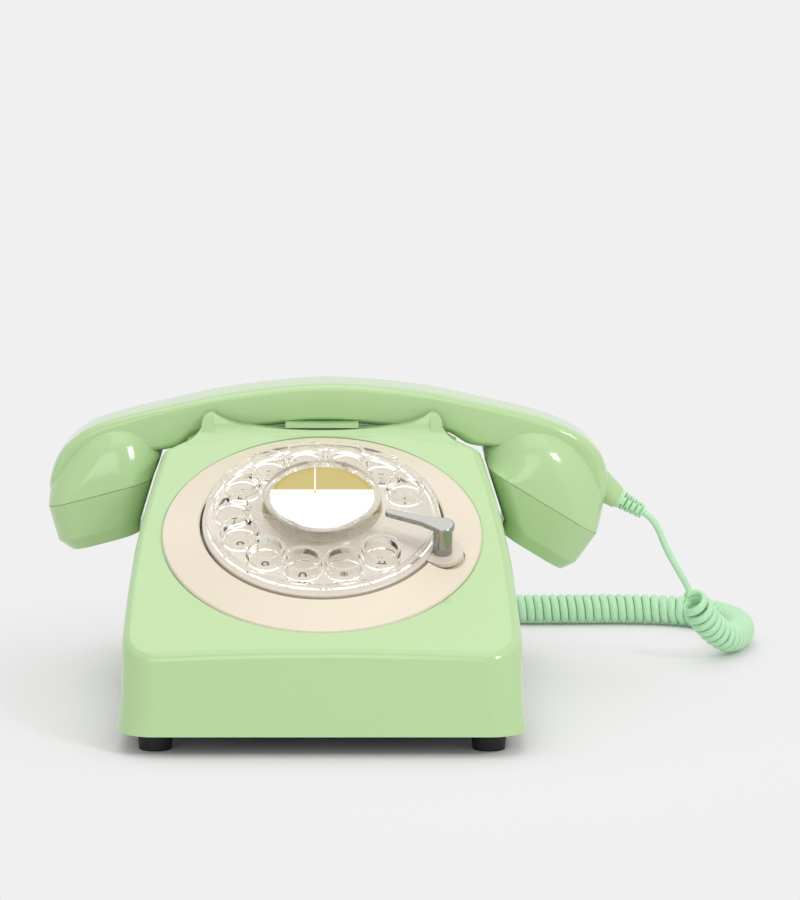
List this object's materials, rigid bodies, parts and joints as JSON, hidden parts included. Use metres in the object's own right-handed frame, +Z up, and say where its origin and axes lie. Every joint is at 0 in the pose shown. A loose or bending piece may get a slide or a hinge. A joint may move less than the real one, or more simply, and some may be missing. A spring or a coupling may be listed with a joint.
{
  "type": "rotary telephone",
  "caption": "Desk telephone with a sloped body, a rotary dial with a clear finger wheel, and a handset that lifts off a sprung cradle on a curly cord.",
  "frame": {"origin": "under the middle of the object's box without its cord, on the table", "axes": "+X to the user's right along the handset, +Y away from the user, +Z up"},
  "size_m": [0.2948, 0.2644, 0.1215],
  "materials": {
    "green_abs": "glossy moulded plastic, pale green",
    "black_steel": "black painted sheet",
    "black_rubber": "matt black rubber",
    "zinc_steel": "zinc plated",
    "black_moulding": "matt moulding",
    "board": "fibre board with parts",
    "cream_plastic": "semi-gloss cream",
    "beige_plate": "beige number plate",
    "clear_acrylic": "clear moulded acrylic",
    "card": "white card with a gold field",
    "chrome": "polished chrome",
    "brass": "turned brass",
    "spring_steel": "blued spring steel",
    "gong_brass": "polished brass",
    "coil": "lacquered copper winding",
    "capsule_metal": "pressed aluminium",
    "cord_vinyl": "soft green vinyl",
    "clear_plug": "cloudy clear plug"
  },
  "bodies": {
    "base": {"body_cover": "green_abs", "base_plate": "black_steel", "rubber_feet": "black_rubber", "cover_screws": "zinc_steel", "cord_socket": "black_moulding", "line_socket": "black_moulding", "socket_bracket": "zinc_steel", "circuit_board": "board", "dial_bezel": "cream_plastic", "dial_plate": "beige_plate", "finger_stop": "chrome", "finger_stop_screw": "zinc_steel", "dial_frame": "zinc_steel", "rear_bridge": "zinc_steel", "governor_cup": "brass", "impulse_contacts": "brass", "return_spring": "spring_steel", "hook_bracket": "zinc_steel", "hook_switch": "black_moulding", "hook_spring": "spring_steel", "gong_left": "gong_brass", "gong_right": "gong_brass", "gong_posts": "zinc_steel", "ringer_coil": "coil", "handset_lead": "cord_vinyl", "handset_cord": "cord_vinyl", "cord_tail": "cord_vinyl", "cord_plug": "clear_plug"},
    "wheel": {"finger_wheel": "clear_acrylic", "card_cover": "clear_acrylic", "number_card": "card", "main_spindle": "brass", "main_gear": "brass"},
    "pulse": {"pulse_gear": "brass"},
    "governor": {"governor": "brass"},
    "plunger": {"hook_plunger": "green_abs"},
    "handset": {"handset_shell": "green_abs", "ear_cap": "green_abs", "mouth_cap": "green_abs", "receiver_capsule": "capsule_metal", "microphone_capsule": "capsule_metal", "handset_weight": "zinc_steel", "strain_relief": "cord_vinyl"},
    "clapper": {"clapper": "zinc_steel"}
  },
  "joints": [
    {"name": "dial_turn", "type": "hinge", "parent": "base", "child": "wheel", "pos_m": [-0.00601, -0.03951, 0.0725], "axis": [0, 0.4656, -0.885], "range_deg": [0, 312], "stiffness_Nm_per_rad": 0.008},
    {"name": "pulse_spin", "type": "hinge", "parent": "base", "child": "pulse", "pos_m": [-0.02969, -0.04155, 0.05787], "axis": [0, 0.4656, -0.885], "range_deg": [-1400, 20]},
    {"name": "governor_spin", "type": "hinge", "parent": "base", "child": "governor", "pos_m": [-0.02305, -0.05768, 0.04938], "axis": [0, 0.4656, -0.885], "range_deg": [-20, 4200]},
    {"name": "handset_lift", "type": "slide", "parent": "base", "child": "handset", "axis": [0, 0, 1], "range_m": [0, 0.09]},
    {"name": "hook_rise", "type": "slide", "parent": "base", "child": "plunger", "axis": [0, 0, 1], "range_m": [0, 0.0041], "deforming": ["hook_spring"]},
    {"name": "clapper_swing", "type": "hinge", "parent": "base", "child": "clapper", "pos_m": [-0.00601, 0.01999, 0.034], "axis": [0, 0, 1], "range_deg": [-3.4, 3.4]}
  ],
  "couplings": [
    {"joint": "pulse_spin", "follows": "dial_turn", "ratio": -4},
    {"joint": "governor_spin", "follows": "dial_turn", "ratio": 12},
    {"joint": "hook_rise", "follows": "handset_lift", "ratio": 0.044444}
  ]
}
